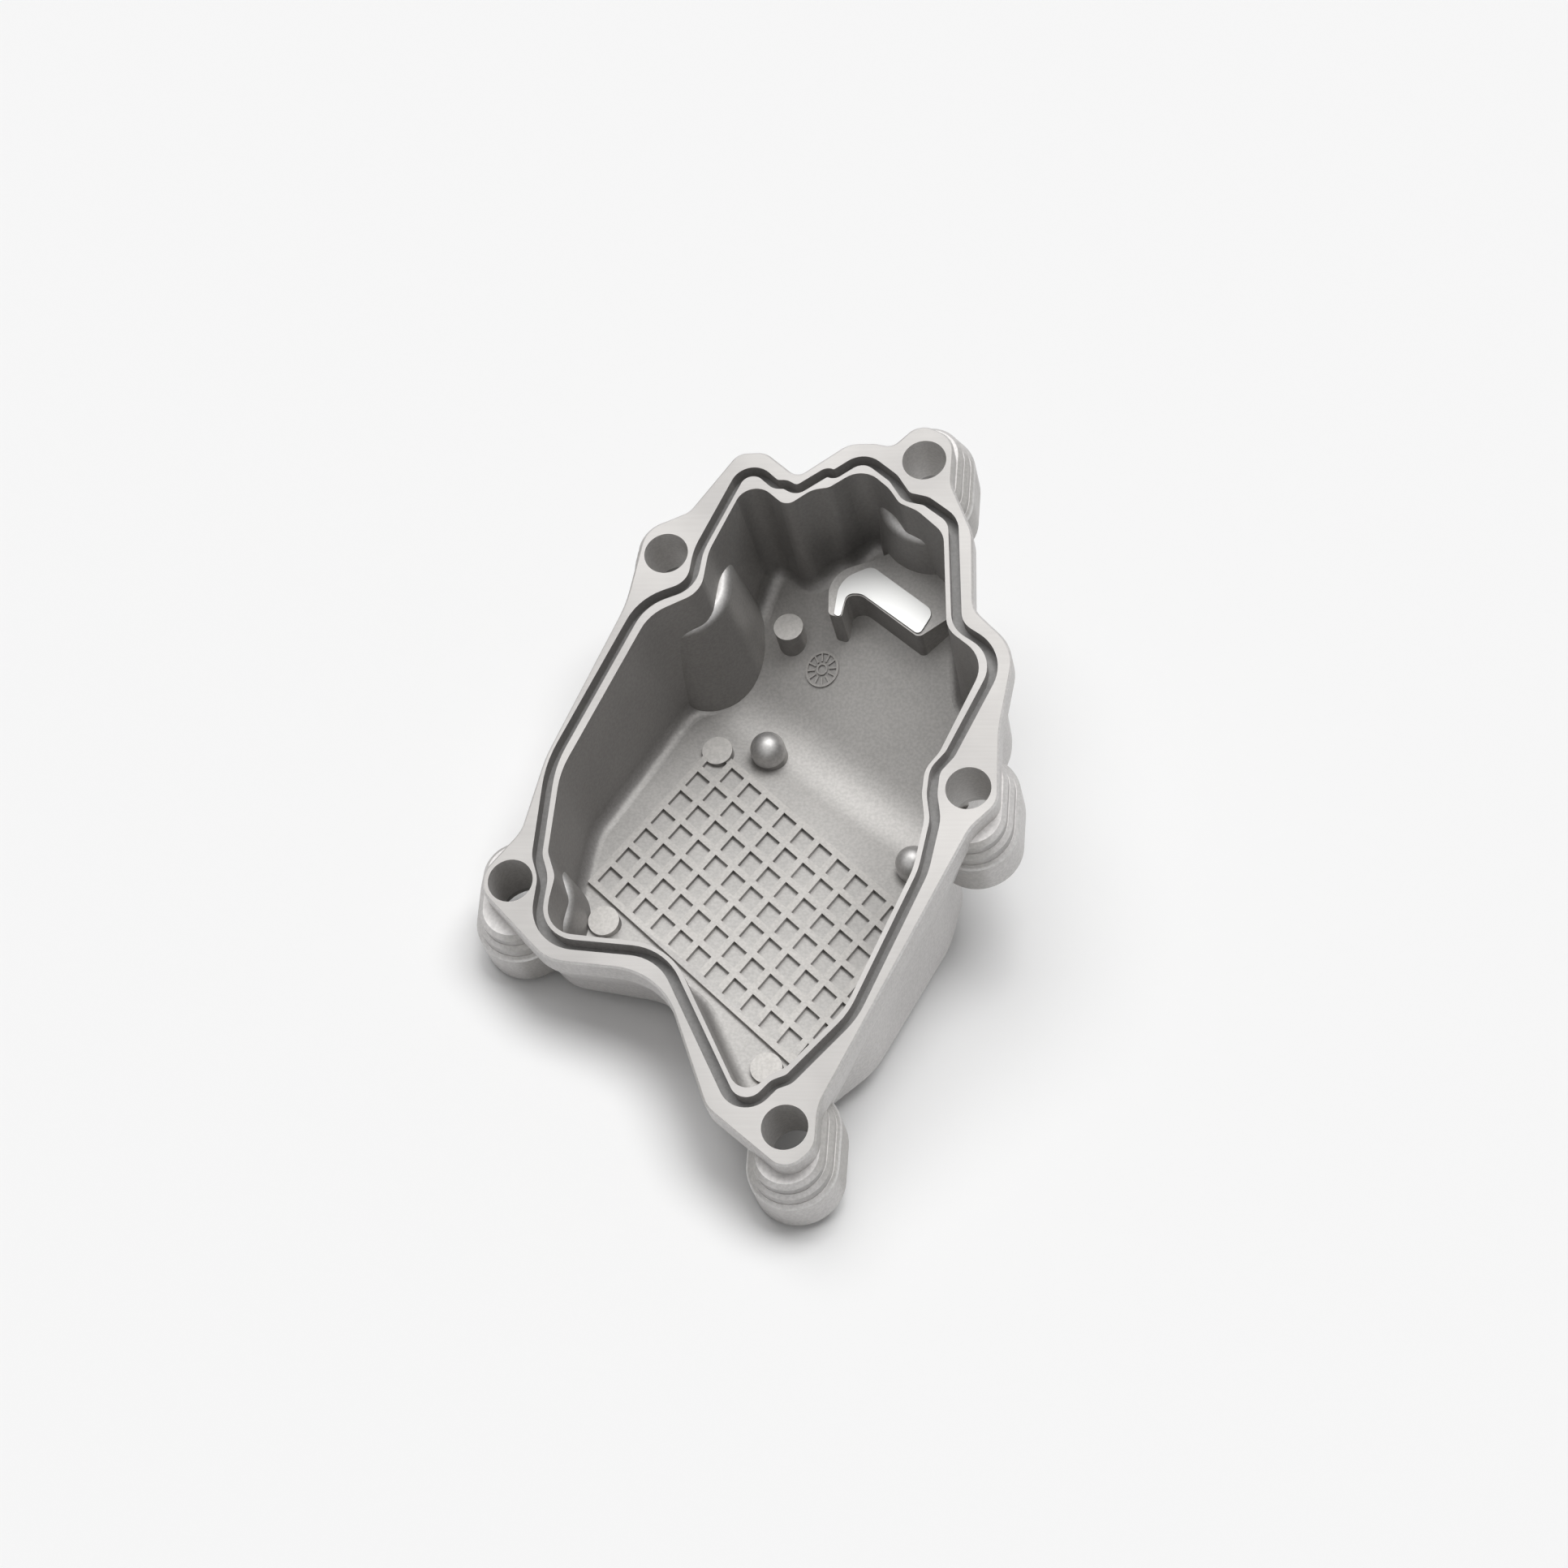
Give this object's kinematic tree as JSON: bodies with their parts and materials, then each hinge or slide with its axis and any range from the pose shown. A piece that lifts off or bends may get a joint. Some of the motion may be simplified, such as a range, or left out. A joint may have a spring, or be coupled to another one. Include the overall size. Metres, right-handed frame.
{
  "type": "rocker cover",
  "caption": "Die-cast aluminium rocker cover lying open side up, with a grooved sealing flange, stepped bolt bosses and a deep bent floor with a waffle grid and a hook-shaped machined land",
  "frame": {"origin": "centre of the right-hand bolt hole on the machined seal face", "axes": "+Z points out of the open side, square to the seal face; +Y runs along the cover's length; +X runs across it, outwards at the right-hand bolt hole"},
  "size_m": [0.0761, 0.1197, 0.0325],
  "materials": {
    "cast_aluminium": "satin"
  },
  "bodies": {
    "root": {"rocker_cover": "cast_aluminium"}
  },
  "joints": []
}
